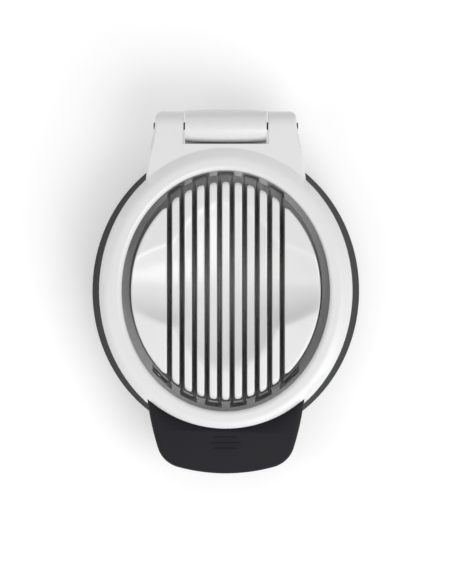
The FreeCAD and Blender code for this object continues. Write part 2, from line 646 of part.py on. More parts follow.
def is_plate_rim(edge):
    """Whether an edge is the upper rim of the plate's side or of an ear's outer end."""
    middle = edge.valueAt((edge.FirstParameter + edge.LastParameter) / 2)
    outside = abs(middle.x) > value("ear_half_width - ear_corner")
    above = middle.z > value(f"{PIN_Z} + pin_radius")
    return outside and above and edge.BoundBox.YLength > 1


def is_cheek_rim(edge):
    """Whether an edge is the curved rim of an ear's barrel, beside the knuckle."""
    middle = edge.valueAt((edge.FirstParameter + edge.LastParameter) / 2)
    flat = edge.BoundBox.XLength < 0.01 and abs(abs(middle.x) - value(CHEEK_X)) < 0.01
    return flat and middle.y > value(PIN_Y) + value("pin_radius") * 2


def make_tongue():
    """The tongue that the grip is moulded round."""
    tongue = document.addObject("Part::Box", "tongue")
    bind(tongue, "Length", "2 * tongue_half_width")
    bind(tongue, "Width", "tongue_reach + frame_wall")
    bind(tongue, "Height", "tongue_thickness")
    bind(tongue, "Placement.Base.x", "-tongue_half_width")
    bind(tongue, "Placement.Base.y", f"-{RING_Y} - tongue_reach + grip_overlap")
    bind(tongue, "Placement.Base.z", "tongue_bottom")
    return tongue


# -------------------------------------------------------------- wire carrier

def make_wire_carrier():
    """The oval plate under the ring that the wire is laced on."""
    body = new_body("carrier_plate")
    plate = sketch_on(body, "carrier_sketch", "XY_Plane", z=CARRIER_BOTTOM)
    ellipse(plate, f"({HOLLOW_X} - carrier_fit)", f"({HOLLOW_Y} - carrier_fit)")
    ellipse(plate, OPENING_X, OPENING_Y, OPENING_SHIFT)
    extrude(body, "Pad", "carrier_ring", plate, "carrier_thickness")
    holes(body, "carrier_holes", CARRIER_SCREW_PLACES, "carrier_screw_radius + screw_clearance",
          CARRIER_BOTTOM, "carrier_thickness")
    holes(body, "carrier_recesses", CARRIER_SCREW_PLACES, "carrier_screw_head + screw_clearance",
          CARRIER_BOTTOM, "head_height")
    carrier = document.addObject("Part::Cut", "wire_carrier")
    carrier.Base = body
    carrier.Tool = make_lacing_cuts()
    carrier.Label = "wire_carrier"
    return carrier


def upright_box(name, low_x, high_x, low_y, high_y, low_z, high_z):
    """A box between six formulas."""
    box = document.addObject("Part::Box", name)
    spans = (("Length", low_x, high_x), ("Width", low_y, high_y), ("Height", low_z, high_z))
    for size, low, high in spans:
        bind(box, size, f"{high} - ({low})")
    for axis, low in (("x", low_x), ("y", low_y), ("z", low_z)):
        bind(box, f"Placement.Base.{axis}", low)
    return box


def strand_x(number):
    """Where a strand lies across the tray, counted from the left."""
    return f"(wire_pitch * {number} - {OUTER_STRAND})"


def make_lacing_cuts():
    """Pockets that hold the turns of the wire, and a notch for each end of each strand."""
    count = int(value("wire_count"))
    band = new_body("pocket_band")
    sketch = sketch_on(band, "pocket_band_sketch", "XY_Plane", z=POCKET_FLOOR)
    ellipse(sketch, f"({LACE_X} + {POCKET_HALF_WIDTH})", f"({LACE_Y} + {POCKET_HALF_WIDTH})", LACE_SHIFT)
    ellipse(sketch, f"({LACE_X} - {POCKET_HALF_WIDTH})", f"({LACE_Y} - {POCKET_HALF_WIDTH})", LACE_SHIFT)
    extrude(band, "Pad", "pocket_band_pad", sketch, "2 * carrier_thickness")
    strips = []
    for first in range(0, count - 1, 2):
        strips.append(upright_box(
            f"rear_strip_{first}", f"{strand_x(first)} - pocket_end", f"{strand_x(first + 1)} + pocket_end",
            "0", RING_Y, CARRIER_BOTTOM, "crest_height"))
    for first in range(1, count - 2, 2):
        strips.append(upright_box(
            f"front_strip_{first}", f"{strand_x(first)} - pocket_end", f"{strand_x(first + 1)} + pocket_end",
            f"-{RING_Y}", "0", CARRIER_BOTTOM, "crest_height"))
    for side, sign in (("left", "-"), ("right", "")):
        ends = [f"{sign}({OUTER_STRAND} - pocket_end)", f"{sign}({OUTER_STRAND} + wire_tail + pocket_end)"]
        low, high = ends[::-1] if sign else ends
        strips.append(upright_box(f"tail_strip_{side}", low, high, f"-{RING_Y}", "0",
                                  CARRIER_BOTTOM, "crest_height"))
    all_strips = document.addObject("Part::MultiFuse", "pocket_strips")
    all_strips.Shapes = strips
    pockets = document.addObject("Part::Common", "pockets")
    pockets.Base = band
    pockets.Tool = all_strips
    notches = document.addObject("Part::Common", "notches")
    notches.Base = make_notch_slabs(count)
    notches.Tool = make_notch_limit()
    cuts = document.addObject("Part::Fuse", "lacing_cuts")
    cuts.Base = pockets
    cuts.Tool = notches
    return cuts


def make_notch_slabs(count):
    """One thin slab along each strand."""
    slabs = [
        upright_box(f"notch_{number}", f"{strand_x(number)} - notch_width / 2",
                    f"{strand_x(number)} + notch_width / 2", f"-{RING_Y}", RING_Y,
                    f"{WIRE_LEVEL} - wire_radius", "crest_height")
        for number in range(count)
    ]
    fused = document.addObject("Part::MultiFuse", "notch_slabs")
    fused.Shapes = slabs
    return fused


def make_notch_limit():
    """The oval that the notches end at, in the middle of the pockets."""
    body = new_body("notch_limit")
    sketch = sketch_on(body, "notch_limit_sketch", "XY_Plane", z=CARRIER_BOTTOM)
    ellipse(sketch, LACE_X, LACE_Y, LACE_SHIFT)
    extrude(body, "Pad", "notch_limit_pad", sketch, "2 * carrier_thickness")
    return body


# --------------------------------------------------------------------- wire

def lace_y(x, side):
    """How far back (side 1) or forward (side -1) the wire turns, at a place across."""
    half = value(LACE_Y) * math.sqrt(1 - (x / value(LACE_X)) ** 2)
    return value(LACE_SHIFT) + side * half


def lace_points():
    """The wire's corners from its left end to its right end, strand by strand."""
    count = int(value("wire_count"))
    height = value(WIRE_LEVEL)
    tail = value(f"{OUTER_STRAND} + wire_tail")
    points = [FreeCAD.Vector(-tail, lace_y(tail, -1), height)]
    for number in range(count):
        x = value(strand_x(number))
        ends = [FreeCAD.Vector(x, lace_y(x, -1), height), FreeCAD.Vector(x, lace_y(x, 1), height)]
        points += ends if number % 2 == 0 else ends[::-1]
    points.append(FreeCAD.Vector(tail, lace_y(tail, -1), height))
    return points


def rounded_path(points, radius):
    """Straight runs through the points, joined by tangent arcs."""
    edges = []
    start = points[0]
    for before, corner, after in zip(points, points[1:], points[2:]):
        back = (before - corner).normalize()
        ahead = (after - corner).normalize()
        half = back.getAngle(ahead) / 2
        trim = radius / math.tan(half)
        middle = (back + ahead).normalize()
        bulge = corner + middle * (radius / math.sin(half) - radius)
        enter = corner + back * trim
        leave = corner + ahead * trim
        edges.append(Part.LineSegment(start, enter).toShape())
        edges.append(Part.Arc(enter, bulge, leave).toShape())
        start = leave
    edges.append(Part.LineSegment(start, points[-1]).toShape())
    return Part.Wire(edges)


def make_slicing_wire():
    """One steel wire laced to and fro.  A swept path in space suits no sketch feature."""
    points = lace_points()
    path = rounded_path(points, value("wire_bend"))
    direction = (points[1] - points[0]).normalize()
    section = Part.Wire([Part.Circle(points[0], direction, value("wire_radius")).toShape()])
    wire = document.addObject("Part::Feature", "slicing_wire")
    wire.Shape = path.makePipeShell([section], True, False)
    wire.Placement = FreeCAD.Placement()
    wire.Label = "slicing_wire"
    return wire


def make_ferrule(name, end, towards):
    """A ferrule crimped on one end of the wire, so that it can't pull through."""
    direction = (towards - end).normalize()
    turn = FreeCAD.Rotation(FreeCAD.Vector(0, 0, 1), direction)
    tube = document.addObject("Part::Cylinder", name + "_tube")
    bind(tube, "Radius", "ferrule_radius")
    bind(tube, "Height", "ferrule_length")
    core = document.addObject("Part::Cylinder", name + "_core")
    bind(core, "Radius", "wire_radius")
    bind(core, "Height", "ferrule_length")
    for part in (tube, core):
        part.Placement = FreeCAD.Placement(end, turn)
    ferrule = document.addObject("Part::Cut", name)
    ferrule.Base = tube
    ferrule.Tool = core
    ferrule.Label = name
    return ferrule


# ------------------------------------------------------------- grip and pin

GRIP_OVAL_Y = f"({RING_Y} - grip_overlap)"
GRIP_FRONT = "(grip_corner_y + grip_front_radius - sqrt(grip_front_radius ^ 2 - grip_corner_x ^ 2))"


def grip_plan(name, bottom, top):
    """The grip's plan as an upright block, hollowed by the oval that it wraps."""
    body = new_body(name)
    plan = sketch_on(body, name + "_plan", "XY_Plane", z=bottom)
    outline(plan, [("-grip_tip_x", "-grip_tip_y"), ("-grip_corner_x", "-grip_corner_y"),
                   ("grip_corner_x", "-grip_corner_y"), ("grip_tip_x", "-grip_tip_y")],
            {0: ("grip_side_radius", LEFT_TURN), 1: ("grip_front_radius", LEFT_TURN),
             2: ("grip_side_radius", LEFT_TURN)})
    extrude(body, "Pad", name + "_block", plan, f"{top} - {bottom}")
    round_edges(body, name + "_corners", "grip_corner_radius",
                lambda edge: edge.BoundBox.XLength < 0.01 and edge.BoundBox.YMax < -value("grip_tip_y") - 1)
    oval = sketch_on(body, name + "_oval", "XY_Plane", z=bottom)
    ellipse(oval, RING_X, GRIP_OVAL_Y)
    extrude(body, "Pocket", name + "_wrap", oval, f"{top} - {bottom}", backwards=True)
    return body


def make_handle_grip(tongue):
    """The soft dark grip: thick at the ring, thin and drooping at its front edge."""
    ceiling = "(crest_height + crown_rise)"
    beyond = f"({GRIP_FRONT} + grip_edge)"
    body = grip_plan("grip_moulding", CARRIER_BOTTOM, "crest_height")
    above = sketch_on(body, "grip_above", "YZ_Plane")
    outline(above, [(f"-{beyond}", "grip_front_top"), (f"-{GRIP_FRONT}", "grip_front_top"),
                    ("-grip_tip_y", "grip_back_top"), ("0", "grip_back_top"),
                    ("0", ceiling), (f"-{beyond}", ceiling)],
            {1: ("grip_top_radius", RIGHT_TURN)})
    extrude(body, "Pocket", "grip_top", above, "4 * grip_tip_x", symmetric=True)
    below = sketch_on(body, "grip_below", "YZ_Plane")
    outline(below, [(f"-{beyond}", f"{RING_BOTTOM} - close_gap"), (f"-({RING_Y} + grip_heel)",
                    f"{RING_BOTTOM} - close_gap"), (f"-({RING_Y} + grip_heel)", CARRIER_BOTTOM),
                    (f"-{GRIP_FRONT}", "grip_front_bottom"), (f"-{beyond}", "grip_front_bottom")])
    extrude(body, "Pocket", "grip_underside", below, "4 * grip_tip_x", symmetric=True)
    middle = "((grip_front_top + grip_front_bottom) / 2)"
    round_edges(body, "grip_rounding", "grip_edge",
                lambda edge: is_grip_rim(edge) and edge.CenterOfMass.z > value(middle))
    round_edges(body, "grip_under_rounding", "grip_under_edge",
                lambda edge: is_grip_rim(edge) and edge.CenterOfMass.z < value(middle))
    grip = document.addObject("Part::Cut", "handle_grip")
    grip.Base = body
    grip.Tool = tongue
    grip.Label = "handle_grip"
    return grip


def is_grip_rim(edge):
    """Whether an edge runs round the grip's outside, above or below."""
    middle = edge.valueAt((edge.FirstParameter + edge.LastParameter) / 2)
    reach = math.hypot(middle.x / value(RING_X), middle.y / value(GRIP_OVAL_Y))
    box = edge.BoundBox
    upright = box.ZLength > 0.9 * edge.Length
    across = box.XLength > 0.99 * edge.Length and middle.y > -value(GRIP_FRONT) + 1
    return reach > 1.02 and not upright and not across


def make_hinge_pin():
    """The steel pin, with rounded ends that stand a little outside the ears."""
    body = new_body("hinge_pin")
    sketch = sketch_on(body, "pin_sketch", "YZ_Plane")
    circle(sketch, PIN_Y, PIN_Z, "pin_radius")
    extrude(body, "Pad", "shaft", sketch, "2 * pin_half_length", symmetric=True)
    round_edges(body, "pin_ends", "pin_end", lambda edge: edge.BoundBox.XLength < 0.01)
    return body


# ----------------------------------------------------------------- assembly

def make_all():
    """Every sub-part, each with a label that names its file."""
    tongue = make_tongue()
    corners = lace_points()
    sub_parts = [
        make_base_shell(),
        make_egg_tray(),
        make_screws("tray_screws", TRAY_SCREW_PLACES, "(foot_drop + drive_depth)",
                    "tray_screw_radius", "tray_screw_head", "tray_screw_length"),
        make_top_frame(grip_plan("grip_space", RING_BOTTOM, "(crest_height + crown_rise)"), tongue),
        make_wire_carrier(),
        make_screws("carrier_screws", CARRIER_SCREW_PLACES, CARRIER_BOTTOM,
                    "carrier_screw_radius", "carrier_screw_head", "carrier_screw_length"),
        make_slicing_wire(),
        make_ferrule("wire_ferrule_left", corners[0], corners[1]),
        make_ferrule("wire_ferrule_right", corners[-1], corners[-2]),
        make_handle_grip(tongue),
        make_hinge_pin(),
    ]
    for corner, (x, y) in FOOT_PLACES.items():
        sub_parts.append(make_foot(corner, x, y))
    return sub_parts


def check(sub_parts):
    """Stop if anything in the document failed, or a sub-part isn't sound."""
    for thing in document.Objects:
        if "Invalid" in thing.State or "Error" in thing.State:
            raise RuntimeError(f"{thing.Label} failed: {thing.State}")
    for part in sub_parts:
        if part.Shape.isNull() or not part.Shape.isValid() or not part.Shape.Solids:
            raise RuntimeError(f"{part.Label} has no sound solid")
        box = part.Shape.optimalBoundingBox(False)
        print(f"{part.Label:20s} {len(part.Shape.Solids)} solid(s) {part.Shape.Volume:9.1f} mm3 "
              f"x {box.XMin:.2f} {box.XMax:.2f}  y {box.YMin:.2f} {box.YMax:.2f}  "
              f"z {box.ZMin:.2f} {box.ZMax:.2f}")


finished = make_all()
document.recompute()
check(finished)
os.makedirs("parts", exist_ok=True)
for sub_part in finished:
    sub_part.Shape.exportStep(f"parts/{sub_part.Label}.step")
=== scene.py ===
# %% [markdown]
# # An egg slicer, closed on its tray
#
# A wire egg slicer has a dark base, a white slotted tray that holds the egg, and a white ring
# on a hinge that carries one steel wire laced to and fro.  A soft dark grip hangs from the
# ring's front.  The sizes, the hinge and the places of the pieces are already settled in the
# frame, so this lesson makes only what the eye sees: rounded edges, mouldings' small marks,
# the raised bars on the grip, and the finish of every surface.

# %% Load the frame
import math

import bmesh
import bpy
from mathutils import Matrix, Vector


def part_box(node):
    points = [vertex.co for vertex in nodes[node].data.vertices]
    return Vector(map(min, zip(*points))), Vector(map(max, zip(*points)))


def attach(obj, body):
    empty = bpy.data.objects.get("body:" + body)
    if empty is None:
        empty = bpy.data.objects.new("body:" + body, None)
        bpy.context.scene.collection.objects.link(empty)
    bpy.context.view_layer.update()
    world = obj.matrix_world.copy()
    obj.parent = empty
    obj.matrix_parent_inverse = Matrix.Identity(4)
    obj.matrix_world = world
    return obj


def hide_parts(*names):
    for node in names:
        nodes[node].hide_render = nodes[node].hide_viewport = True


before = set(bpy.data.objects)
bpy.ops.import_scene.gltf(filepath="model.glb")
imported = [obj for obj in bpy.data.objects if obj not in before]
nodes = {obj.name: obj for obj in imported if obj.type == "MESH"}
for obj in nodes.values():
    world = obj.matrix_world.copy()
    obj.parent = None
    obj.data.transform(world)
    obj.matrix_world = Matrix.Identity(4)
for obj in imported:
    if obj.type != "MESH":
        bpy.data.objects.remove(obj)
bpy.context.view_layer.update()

MM = 0.001
print("pieces in the frame:", sorted(nodes))

# %% [markdown]
# ## Sizes taken from the frame
#
# The hinge's axis, the height of the ring's top and the height of the deck are taken from the
# boxes of the pieces in the frame.  A box gives a lowest and a highest corner.
# The tray's plan, its slots and its two hollows are given again further down, with the
# design's own numbers, because a box doesn't hold them.

# %% Sizes
PIN_LOW, PIN_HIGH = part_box("hinge_pin")
PIN_AXIS = (PIN_LOW + PIN_HIGH) / 2
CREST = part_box("top_frame")[1].z
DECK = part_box("base_shell")[1].z
print(f"pin axis at y {PIN_AXIS.y / MM:.2f} mm, z {PIN_AXIS.z / MM:.2f} mm; "
      f"crest at {CREST / MM:.2f} mm, deck at {DECK / MM:.2f} mm")

# %% [markdown]
# ## Working on a copy of a designed piece
#
# A piece arrives as loose triangles.  To round an edge, the copy's corners are first joined,
# and triangles that lie in one plane are dissolved into single faces.  Then the edge is a real
# edge, and the bevel operator can round it.

# %% Helpers for meshes
JOIN = 0.002 * MM
FLAT = math.radians(0.05)
CREASE = math.radians(32)


def copy_of(node):
    """A clean bmesh copy of a designed piece."""
    mesh = bmesh.new()
    mesh.from_mesh(nodes[node].data)
    bmesh.ops.remove_doubles(mesh, verts=mesh.verts, dist=JOIN)
    bmesh.ops.dissolve_limit(mesh, angle_limit=FLAT, verts=mesh.verts, edges=mesh.edges)
    return mesh


def sharp_edges(mesh, wanted):
    """The edges that turn by more than a crease, and that are wanted."""
    found = []
    for edge in mesh.edges:
        if len(edge.link_faces) == 2 and edge.calc_face_angle() > CREASE:
            middle = (edge.verts[0].co + edge.verts[1].co) / 2
            if wanted(edge, middle):
                found.append(edge)
    return found


def round_over(mesh, edges, radius):
    """Round edges over with the bevel operator."""
    bmesh.ops.bevel(mesh, geom=edges, offset=radius, offset_type="OFFSET", affect="EDGES",
                    segments=3, profile=0.5, material=-1, clamp_overlap=True)


def make_piece(mesh, name, body, finish, stands_for=()):
    """Turn a bmesh into a shaded object that moves with a body."""
    for face in mesh.faces:
        face.smooth = True
    for edge in mesh.edges:
        if len(edge.link_faces) == 2:
            edge.smooth = edge.calc_face_angle() < CREASE
    data = bpy.data.meshes.new(name)
    mesh.to_mesh(data)
    mesh.free()
    data.materials.append(finish)
    piece = bpy.data.objects.new(name, data)
    bpy.context.scene.collection.objects.link(piece)
    weighted = piece.modifiers.new("even_shading", "WEIGHTED_NORMAL")
    weighted.keep_sharp = True
    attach(piece, body)
    if stands_for:
        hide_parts(*stands_for)
    print(f"{name}: {len(data.polygons)} faces on {body}")
    return piece

# %% [markdown]
# ## Shader arithmetic
#
# A finish is mostly sums on patterns: a grain times a strength, plus a base value.  Written as
# nodes this is hard to read, so a small class wraps a socket, and + - * on it add the Math
# nodes.  Every other node comes from one method, which sets the node up before it is linked.

# %% Helpers for finishes
class Value:
    """A number that varies over a surface."""

    def __init__(self, finish, socket):
        self.finish = finish
        self.socket = socket

    def sum(self, operation, first, second):
        """A Math node on two numbers."""
        node = self.finish.add("ShaderNodeMath", {"operation": operation}, {0: first, 1: second})
        return Value(self.finish, node.outputs[0])

    def __add__(self, other):
        return self.sum("ADD", self, other)

    def __radd__(self, other):
        return self.sum("ADD", other, self)

    def __sub__(self, other):
        return self.sum("SUBTRACT", self, other)

    def __rsub__(self, other):
        return self.sum("SUBTRACT", other, self)

    def __mul__(self, other):
        return self.sum("MULTIPLY", self, other)

    def __rmul__(self, other):
        return self.sum("MULTIPLY", other, self)

    def steps(self, low, high):
        """0 below low, 1 above high, and a smooth change between."""
        node = self.finish.add("ShaderNodeMapRange", {"interpolation_type": "SMOOTHSTEP"},
                               {"Value": self, "From Min": low, "From Max": high})
        return Value(self.finish, node.outputs["Result"])


class Finish:
    """A material being put together."""

    def __init__(self, name):
        self.material = bpy.data.materials.new(name)
        self.material.use_nodes = True
        self.tree = self.material.node_tree
        self.shader = next(node for node in self.tree.nodes if node.type == "BSDF_PRINCIPLED")
        self.place = self.add("ShaderNodeTexCoord").outputs["Object"]

    def feed(self, socket, value):
        """Set a socket, or link it to another node's socket."""
        if isinstance(value, Value):
            value = value.socket
        if isinstance(value, bpy.types.NodeSocket):
            self.tree.links.new(value, socket)
        else:
            socket.default_value = value

    def add(self, kind, settings=None, inputs=None):
        """A node of a kind, with its settings made first and then its sockets fed."""
        node = self.tree.nodes.new(kind)
        for name, setting in (settings or {}).items():
            setattr(node, name, setting)
        for name, value in (inputs or {}).items():
            self.feed(node.inputs[name], value)
        return node

    def stretched(self, x=1.0, y=1.0, z=1.0):
        """The surface's place, stretched by a factor along each axis."""
        node = self.add("ShaderNodeMapping", None, {"Vector": self.place, "Scale": (x, y, z)})
        return node.outputs["Vector"]

    def noise(self, size, detail=2.0, roughness=0.5, place=None):
        """Cloudy noise from 0 to 1, whose blots are about a size across."""
        node = self.add("ShaderNodeTexNoise", None,
                        {"Vector": place or self.place, "Scale": 1 / size,
                         "Detail": detail, "Roughness": roughness})
        return Value(self, node.outputs["Fac"])

    def cells(self, size):
        """The distance from the middle of scattered cells a size across."""
        node = self.add("ShaderNodeTexVoronoi", None, {"Vector": self.place, "Scale": 1 / size})
        return Value(self, node.outputs["Distance"])

    def blend(self, first, second, share):
        """A colour between two, by a share that varies."""
        node = self.add("ShaderNodeMix", {"data_type": "RGBA"}, {0: share, 6: first, 7: second})
        return node.outputs[2]

    def relief(self, height, depth, under=None):
        """A bump of a depth in metres, made on top of another one."""
        inputs = {"Height": height, "Distance": depth, "Strength": 1.0}
        if under is not None:
            inputs["Normal"] = under
        return self.add("ShaderNodeBump", None, inputs).outputs["Normal"]

    def set(self, **inputs):
        """Feed the shader's own sockets; an underscore in a name stands for a space."""
        for name, value in inputs.items():
            self.feed(self.shader.inputs[name.replace("_", " ")], value)
        return self.material


def grey(level, warm=0.0):
    """A linear colour from an 8-bit grey level, a little warm or cool."""
    linear = (level / 255) ** 2.2
    return (linear * (1 + warm), linear, linear * (1 - warm), 1.0)

# %% [markdown]
# ## Finishes
#
# The white parts are moulded in a glossy plastic.  Under a soft light it looks plain, but the
# shine ripples very slightly, as the mould's polish does, and handling leaves a few dull
# touches and hair scratches.  So the roughness carries most of the detail, and the colour
# changes by only a few percent.

# %% White plastic
def white_plastic():
    """Glossy white moulding, with a faint ripple, touches and hair scratches."""
    finish = Finish("white_plastic")
    clouds = finish.noise(26 * MM, detail=3)
    specks = finish.noise(0.45 * MM, detail=3, roughness=0.65)
    touches = finish.noise(7 * MM, detail=5, roughness=0.6).steps(0.52, 0.72)
    scratches = finish.noise(0.6 * MM, detail=1, place=finish.stretched(1.0, 0.06, 0.3)).steps(0.66, 0.74)
    colour = finish.blend(grey(226, 0.004), grey(232, -0.004), clouds)
    colour = finish.blend(colour, grey(212, 0.01), touches * 0.06)
    ripple = finish.relief(finish.noise(3.2 * MM, detail=1), 0.018 * MM)
    grain = finish.relief(specks, 0.006 * MM, under=ripple)
    scored = finish.relief(1 - scratches, 0.005 * MM, under=grain)
    return finish.set(Base_Color=colour, Roughness=0.27 + touches * 0.06 + specks * 0.05 + scratches * 0.08,
                      Normal=scored, IOR=1.5, Coat_Weight=touches * -0.1 + 0.22, Coat_Roughness=0.25,
                      Subsurface_Weight=0.18, Subsurface_Radius=(1.0, 1.0, 1.0),
                      Subsurface_Scale=2.5 * MM)


WHITE = white_plastic()

# %% [markdown]
# The carrier under the ring is the same plastic left with a matt, spark-eroded surface, since
# nobody sees it closely.  Its pale grey colour is painted shade: the white plastic darkened for
# the deep, shaded gap between the ring and the tray.  The same function with a coarser relief
# would also do, but its grain and shine are different enough to be its own finish.

# %% Carrier plastic
def carrier_plastic():
    """Pale grey moulding with a spark-eroded grain."""
    # """White moulding with a spark-eroded grain, coloured pale grey as painted shade for the gap it lies
    # in."""
    finish = Finish("carrier_plastic")
    clouds = finish.noise(12 * MM, detail=3)
    grain = finish.noise(0.25 * MM, detail=4, roughness=0.7)
    # Painted shade: the white plastic's colour darkened to pale grey for the shaded gap under the ring.
    colour = finish.blend(grey(196, 0.0), grey(208, 0.004), clouds)
    return finish.set(Base_Color=colour, Roughness=0.42 + grain * 0.2,
                      Normal=finish.relief(grain, 0.015 * MM), IOR=1.5)


CARRIER_IN_PAINTED_SHADE = carrier_plastic()

# %% [markdown]
# The base is a near-black plastic with a satin skin.  A dark satin surface shows its grain
# only in the highlight, so the grain is a fine bump with a little dust in the colour.

# %% Base plastic
def base_plastic():
    """Near-black satin moulding with a little dust."""
    finish = Finish("base_plastic")
    clouds = finish.noise(18 * MM, detail=4)
    grain = finish.noise(0.3 * MM, detail=4, roughness=0.7)
    dust = finish.noise(1.4 * MM, detail=6, roughness=0.75).steps(0.55, 0.8)
    colour = finish.blend(grey(16, -0.01), grey(21, 0.01), clouds)
    colour = finish.blend(colour, grey(90, 0.01), dust * 0.05)
    return finish.set(Base_Color=colour, Roughness=0.46 + grain * 0.16 + dust * 0.1,
                      Normal=finish.relief(grain, 0.02 * MM), IOR=1.5,
                      Specular_IOR_Level=0.13)


BASE = base_plastic()

# %% [markdown]
# The grip is a soft rubber over the ring's tongue: matt, finely pitted, with a dry sheen.  It
# picks up lint and skin marks, so the colour and roughness vary in soft patches.

# %% Grip rubber
def soft_rubber(name, dark, light, pit):
    """Matt pitted rubber between two colours, with pits a size across."""
    finish = Finish(name)
    patches = finish.noise(9 * MM, detail=4, roughness=0.6)
    pits = finish.cells(pit)
    grain = finish.noise(pit * 0.6, detail=3, roughness=0.6)
    lint = finish.noise(1.1 * MM, detail=6, roughness=0.8).steps(0.6, 0.85)
    colour = finish.blend(dark, light, patches)
    colour = finish.blend(colour, grey(110), lint * 0.04)
    pitted = finish.relief(pits.steps(0.0, 0.6), 0.03 * MM)
    skin = finish.relief(grain, 0.02 * MM, under=pitted)
    return finish.set(Base_Color=colour, Roughness=0.52 + patches * 0.12 + grain * 0.1,
                      Normal=skin, IOR=1.5, Specular_IOR_Level=0.25, Sheen_Weight=0.03,
                      Sheen_Roughness=0.5)


GRIP = soft_rubber("grip_rubber", (0.0070, 0.0064, 0.0095, 1), (0.0100, 0.0092, 0.0132, 1), 0.4 * MM)
FOOT = soft_rubber("foot_rubber", (0.030, 0.030, 0.032, 1), (0.042, 0.042, 0.044, 1), 0.3 * MM)

# %% [markdown]
# Steel comes in three kinds here: the drawn wire, the crimped ferrules and screws with a zinc
# skin, and the hinge pin, darkened by an oil finish.  The wire's grey is painted shade, darker
# than bright steel so that it stays dark in the shaded slots.  Drawing leaves lines along the
# wire, which stretched noise gives; one function makes all the kinds.

# %% Steel
def steel(name, dark, light, roughness, line, depth=0.004):
    """Steel between two grey levels, with lines stretched along an axis."""
    finish = Finish(name)
    lines = finish.noise(0.12 * MM, detail=2, place=finish.stretched(*line))
    stains = finish.noise(2.5 * MM, detail=5, roughness=0.65)
    spots = stains.steps(0.58, 0.78)
    colour = finish.blend(grey(dark), grey(light, 0.01), stains)
    return finish.set(Base_Color=colour, Metallic=1.0 - spots * 0.1,
                      Roughness=roughness + lines * 0.12 + spots * 0.12,
                      Normal=finish.relief(lines, depth * MM))


# The wire's grey levels are painted shade: darker than bright steel, for the shade in the slots.
WIRE_IN_PAINTED_SHADE = steel("wire_steel", 120, 150, 0.3, line=(1.0, 0.03, 1.0))
FERRULE = steel("ferrule_steel", 150, 184, 0.3, line=(1.0, 1.0, 1.0), depth=0.006)
SCREW = steel("screw_steel", 132, 170, 0.28, line=(1.0, 1.0, 0.2), depth=0.006)
PIN = steel("pin_steel", 70, 96, 0.3, line=(0.04, 1.0, 1.0), depth=0.005)

# %% [markdown]
# ## Finishing the designed pieces
#
# Pieces whose shape needs nothing more keep their designed mesh.  They arrive as separate
# triangles, so a Weld modifier joins the corners that meet.

# %% Dress the designed pieces
DESIGNED = {
    "base_shell": BASE, "tray_screws": SCREW, "wire_carrier": CARRIER_IN_PAINTED_SHADE, "carrier_screws": SCREW,
    "slicing_wire": WIRE_IN_PAINTED_SHADE, "wire_ferrule_left": FERRULE, "wire_ferrule_right": FERRULE,
    "handle_grip": GRIP, "top_frame": WHITE, "hinge_pin": PIN,
}
for corner in ("front_left", "front_right", "rear_left", "rear_right"):
    DESIGNED["foot_" + corner] = FOOT


def dress(node, finish):
    """Give a designed piece its finish and join its corners, and leave its mesh alone."""
    piece = nodes[node]
    for slot in piece.material_slots:
        slot.material = finish
    weld = piece.modifiers.new("weld", "WELD")
    weld.merge_threshold = JOIN


for node, finish in DESIGNED.items():
    dress(node, finish)
print("dressed", len(DESIGNED), "designed pieces")

# %% [markdown]
# ## The tray's ribs
#
# The tray is a block of eleven ribs with ten slots between them for the wire.  On the real one
# no rib has a knife edge: the mould rounds the ends and the rims, and the two hollows that hold
# the egg run into each other softly.  The design has the plain block with crisp rims.  Cutting
# and bevelling that block would leave uneven rims where the hollows cross the slots, so each
# rib is made anew: a grid is laid over the rib's plan and lifted to the height of the tray's
# top, and its border is extruded down to the deck.
#
# The top is the lowest of three surfaces: the arched crest, the lengthwise hollow and the
# crosswise hollow.  Each hollow is round about an axis above the tray.  A soft minimum rounds
# the rims where they meet.

# %% Shape of the tray's top
SLOT_COUNT = 10
SLOT_PITCH = 5.0 * MM
SLOT_WIDTH = 2.05 * MM
TRAY_HALF_WIDTH = 37.9 * MM
TRAY_HALF_LENGTH = 43.6 * MM
ARCH_RADIUS = 260 * MM
CRADLE_SHIFT = 2.4 * MM
CRADLE = {"reach": 32.9 * MM, "half": 24.0 * MM, "depth": 13.5 * MM, "end": 2.1 * MM}
CROSS = {"reach": 44.6 * MM, "half": 19.5 * MM, "depth": 12.5 * MM, "end": 0.0}
RIM_BLEND = 2.2 * MM


def soft_min(first, second, width):
    """The lower of two heights, with the crossing rounded over a width."""
    share = max(width - abs(first - second), 0) / width
    return min(first, second) - share * share * width / 4


def hollow_height(along, across, reach, half, depth, end):
    """The height of a hollow that is round about an axis above the crest."""
    axis_rise = (half ** 2 - depth ** 2) / (2 * depth)
    sag = depth - end
    sweep = (reach ** 2 + sag ** 2) / (2 * sag)
    radius = axis_rise + depth - sweep + math.sqrt(max(sweep ** 2 - along ** 2, 0))
    if radius <= abs(across):
        return CREST + axis_rise
    return CREST + axis_rise - math.sqrt(radius ** 2 - across ** 2)


def tray_height(x, y):
    """The height of the tray's top at a place."""
    crest = CREST - ARCH_RADIUS + math.sqrt(ARCH_RADIUS ** 2 - y ** 2)
    cradle = hollow_height(y - CRADLE_SHIFT, x, **CRADLE)
    cross = hollow_height(x, y - CRADLE_SHIFT, **CROSS)
    return soft_min(soft_min(crest, cradle, RIM_BLEND), cross, RIM_BLEND)

# %% [markdown]
# A rounded rim is a quarter circle: near the rib's side or end the top drops, gently at first
# and steeply at the edge.  The grid's lines are crowded towards the edges, so that the curve
# of the rim is smooth and the long middle stays light.

# %% Make one rib
SIDE_ROUND = 0.55 * MM
END_ROUND = 1.7 * MM
PLAN_CORNER = 1.1 * MM
LOBE_ROUND = 1.0 * MM
LOBE_RIM = 1.2 * MM
RIM_SHARE = 0.06
RIB_ROOT = 0.5 * MM
RIM_STEPS = 5
RIB_STEPS = 4
LOBE_STEPS = 14
LENGTH_STEPS = 64


